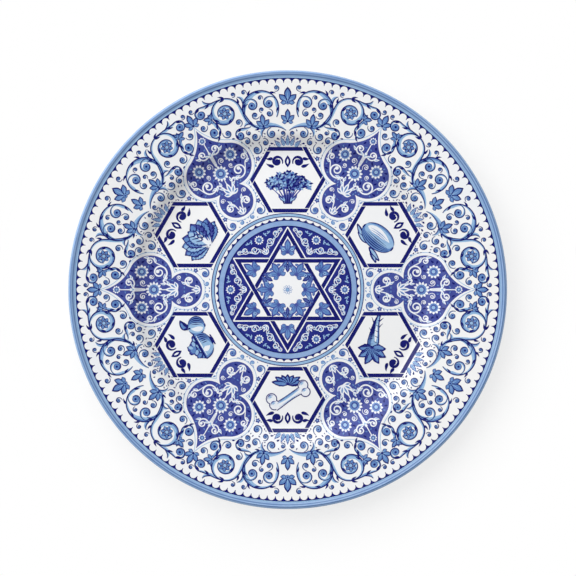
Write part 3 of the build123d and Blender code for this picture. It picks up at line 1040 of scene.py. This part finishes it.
def addPiece(name, points, faces, plan, material):
    mesh = bpy.data.meshes.new(name)
    mesh.vertices.add(len(points))
    mesh.vertices.foreach_set("co", points.astype(np.float32).ravel())
    mesh.loops.add(faces.size)
    mesh.loops.foreach_set("vertex_index", faces.astype(np.int32).ravel())
    mesh.polygons.add(len(faces))
    mesh.polygons.foreach_set("loop_start", np.arange(0, faces.size, 4, dtype=np.int32))
    mesh.update(calc_edges=True)
    mesh.uv_layers.new(name="OFBake").data.foreach_set("uv", plan.astype(np.float32).ravel())
    mesh.polygons.foreach_set("use_smooth", np.ones(len(mesh.polygons), bool))
    mesh.set_sharp_from_angle(angle=radians(sharpAngle))
    mesh.materials.append(material)
    piece = bpy.data.objects.new(name, mesh)
    scene.collection.objects.link(piece)
    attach(piece, "root")
    return piece


def makePrint(name, ink, marks):
    points, faces, count = [], [], 0
    for index, level, grid in marks:
        grid = refined(grid)
        first, second = grid[1:, :-1] - grid[:-1, :-1], grid[:-1, 1:] - grid[:-1, :-1]
        if (first[..., 0] * second[..., 1] - first[..., 1] * second[..., 0]).sum() < 0:
            grid = grid[:, ::-1]
        n, m = grid.shape[:2]
        top = count + np.arange(n * m).reshape(n, m)
        low = top + n * m
        lift = enamel["lift"] + enamel["layer"] * (level + index * enamel["step"] % 1 * enamel["spread"])
        extra = (0, enamel["curved"], enamel["curved"], 0)
        lift = lift + np.interp(np.hypot(grid[..., 0], grid[..., 1]), enamel["thicker"], extra)
        points += [onPlate(grid, lift).reshape(-1, 3), onPlate(grid, -enamel["seat"]).reshape(-1, 3)]
        faces += [
            quads(top[:-1, :-1], top[1:, :-1], top[1:, 1:], top[:-1, 1:]),
            quads(low[:-1, :-1], low[:-1, 1:], low[1:, 1:], low[1:, :-1]),
            quads(top[:-1, -1], top[1:, -1], low[1:, -1], low[:-1, -1]),
            quads(top[1:, 0], top[:-1, 0], low[:-1, 0], low[1:, 0]),
            quads(top[0, :-1], top[0, 1:], low[0, 1:], low[0, :-1]),
            quads(top[-1, 1:], top[-1, :-1], low[-1, :-1], low[-1, 1:]),
        ]
        count += 2 * n * m
    points, faces = np.concatenate(points), np.concatenate(faces)
    plan = 0.5 + points[faces.ravel(), :2] / planWidth  # the plan view, so that each mark has its own place
    addPiece(name, points, faces, plan, inks[ink])
    return len(faces)


# edge band: the same section as the solid's, turned in fine steps

edge = {"radius": 165.0, "wall": 4.8, "glaze": 0.3, "faceStart": 160.0, "under": 3.0,
        "steps": 720, "arcSteps": 20}


def edgeSection(depth):
    slope = radians(plate["rimSlope"])
    outward, normal = np.array([cos(slope), sin(slope)]), np.array([-sin(slope), cos(slope)])
    r = edge["wall"] / 2
    start = onPlate(np.array([edge["faceStart"], 0.0]), -depth)[[0, 2]] * mmPerMetre
    rimEnd = edge["radius"] - r - r * sin(slope)
    hub = onPlate(np.array([rimEnd, 0.0]), 0.0)[[0, 2]] * mmPerMetre - normal * r
    turn = np.linspace(pi / 2 + slope, slope - pi / 2, edge["arcSteps"])
    lip = hub + (r - depth) * np.stack([np.cos(turn), np.sin(turn)], 1)
    return np.concatenate([[start], lip, [lip[-1] - outward * edge["under"]]])


def makeEdge():
    outer, inner = edgeSection(0.0), edgeSection(edge["glaze"])
    section = np.concatenate([outer, inner[::-1]]) / mmPerMetre
    n, m = edge["steps"], len(section)
    turn = np.arange(n) * 2 * pi / n
    x, y = np.outer(np.cos(turn), section[:, 0]), np.outer(np.sin(turn), section[:, 0])
    points = np.stack([x, y, np.tile(section[:, 1], (n, 1))], -1).reshape(-1, 3)
    spin, row = np.meshgrid(np.arange(n), np.arange(m), indexing="ij")
    corners = ((0, 0), (0, 1), (1, 1), (1, 0))
    faces = quads(*[((spin + i) % n) * m + (row + j) % m for i, j in corners])
    plan = np.stack([np.stack([(spin + i) / n, (row + j) / m], -1) for i, j in corners], 2).reshape(-1, 2)
    return addPiece("edge_band_glaze", points, faces, plan, band)


rimMarks, rimAxisMarks = rimHalf(), rimAxes()
fieldMarks, fieldAxisMarks = fieldHalf(), fieldAxis()
fill = fillHalf(Sheet(rimMarks.flipped(), rimAxisMarks, rimAxisMarks.flipped()))
fieldFill = fillField(Sheet(fieldMarks, fieldAxisMarks))
pictures = Sheet()
for angle, (food, wide, high) in foods.items():
    drawing = food()
    low, top = np.array([(grid[..., 1].min(), grid[..., 1].max()) for _, _, grid in drawing.marks]).T
    middle = (low.min() + top.max()) / 2
    drawing = Sheet(drawing.moved(0, -middle).scaled(wide, high).moved(0, panel["picture"]), flourish())
    pictures = Sheet(pictures, drawing.moved(0, panel["ring"]).turned(angle - 90))
print("drawn:", len(fill.marks), "marks of filler,", len(pictures.marks), "of pictures")
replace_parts(makeEdge(), "edge_band")
toFields = field["turn"]
zones = {
    "rim_scrolls": Sheet(rimMarks.both().around(), rimAxisMarks.around(), edgeLine()),
    "filler": fill.both().around(),
    "field_branches": Sheet(fieldMarks.both().around(toFields), fieldAxisMarks.around(toFields),
                            fieldFill.both().around(toFields)),
    "medallion_sprigs": Sheet(groundHalf().both().around(toFields), groundAxis().around(toFields),
                              starHalf().both().around(), starAxis().around(), starHeart()),
    "food_pictures": pictures,
}
for zoneName, sheet in zones.items():
    for ink in inkLooks:
        marks = [(i, level, grid) for i, (markInk, level, grid) in enumerate(sheet.marks) if markInk == ink]
        if marks:
            faceCount = makePrint(zoneName + "_" + ink, ink, marks)
            print("print", zoneName, ink, len(marks), "marks", faceCount, "faces")


# stage

# fade: the radii between which the floor turns white
# keyFrom and fillFrom: azimuth, angle from the vertical, distance
studio = {"reach": 4.0, "wall": 1.2, "sides": 96, "gap": 0.0002, "floor": (248, 248, 248),
          "floorLight": (252, 252, 252), "floorCloud": (300, 2), "floorShare": 0.4,
          "glow": 0.745, "fade": (0.17, 0.222), "world": 0.37,
          "key": 34.5, "keySize": 1.9, "keyFrom": (132, 46, 1.6),
          "fill": 1.2, "fillSize": 1.6, "fillFrom": (330, 55, 2.2)}


def layFloor():  # a round floor with a low wall round it, white from any side
    n = studio["sides"]
    circle = [tuple(polar(studio["reach"], 360 * k / n)) for k in range(n)]
    mesh = bpy.data.meshes.new("floor")
    sides = [(k, (k + 1) % n, n + (k + 1) % n, n + k) for k in range(n)]
    points = [(x, y, z) for z in (0, studio["wall"]) for x, y in circle]
    mesh.from_pydata(points, [], [tuple(range(n))] + sides)
    floor = bpy.data.objects.new("floor", mesh)
    floor.location.z = -studio["gap"]
    scene.collection.objects.link(floor)
    material, wire, place, shader = newFinish("pale_floor")
    patches = cloud(wire, place, *studio["floorCloud"]) * studio["floorShare"]
    color = blend(wire, patches, paint(*studio["floor"]), paint(*studio["floorLight"]))
    path = wire.node("ShaderNodeLightPath").socket.node.outputs
    eyeRay, glossRay, glassRay = [Wire(wire.tree, path["Is " + kind + " Ray"])
                                  for kind in ("Camera", "Glossy", "Transmission")]
    seen = wire.math("MAXIMUM", eyeRay, wire.math("MAXIMUM", glossRay, glassRay))
    away = wire.node("ShaderNodeVectorMath", {"operation": "LENGTH"}, {0: place}, 1)
    fade = ranged(wire, away, *studio["fade"], studio["glow"], 1.0, "SMOOTHSTEP")
    matt = wire.node("ShaderNodeBsdfDiffuse", None, {"Color": color})
    white = wire.node("ShaderNodeEmission", None, {"Strength": 1.0})
    mixed = wire.node("ShaderNodeMixShader", None, {0: seen * fade, 1: matt, 2: white})
    wire.tree.links.new(mixed.socket, wire.tree.nodes["Material Output"].inputs["Surface"])
    wire.tree.nodes.remove(shader)
    mesh.materials.append(material)


def hangLamp(name, azimuth, lean, distance, size, power):
    lamp = bpy.data.lights.new(name, "AREA")
    lamp.energy = power
    lamp.size = size
    holder = bpy.data.objects.new(name, lamp)
    away = Vector((*polar(sin(radians(lean)), azimuth), cos(radians(lean))))
    holder.location = away * distance
    holder.rotation_euler = away.to_track_quat("Z", "Y").to_euler()
    scene.collection.objects.link(holder)


layFloor()
hangLamp("key", *studio["keyFrom"], studio["keySize"], studio["key"])
hangLamp("fill", *studio["fillFrom"], studio["fillSize"], studio["fill"])
world = bpy.data.worlds.new("studio")
world.use_nodes = True
world.node_tree.nodes["Background"].inputs["Color"].default_value = (1.0, 1.0, 1.0, 1.0)
world.node_tree.nodes["Background"].inputs["Strength"].default_value = studio["world"]
scene.world = world

# height over the lip in metres, and half the view's width there
camera = {"height": 1.4, "halfFrame": 0.2162, "aside": 0.000255, "up": 0.00126, "sensor": 36.0}
lens = bpy.data.cameras.new("camera")
lens.sensor_width = camera["sensor"]
lens.lens = camera["sensor"] / 2 * camera["height"] / camera["halfFrame"]
eye = bpy.data.objects.new("camera", lens)
eye.location = (camera["aside"], camera["up"], cadBox[1].z + camera["height"])
scene.collection.objects.link(eye)
scene.camera = eye
print("stage set")
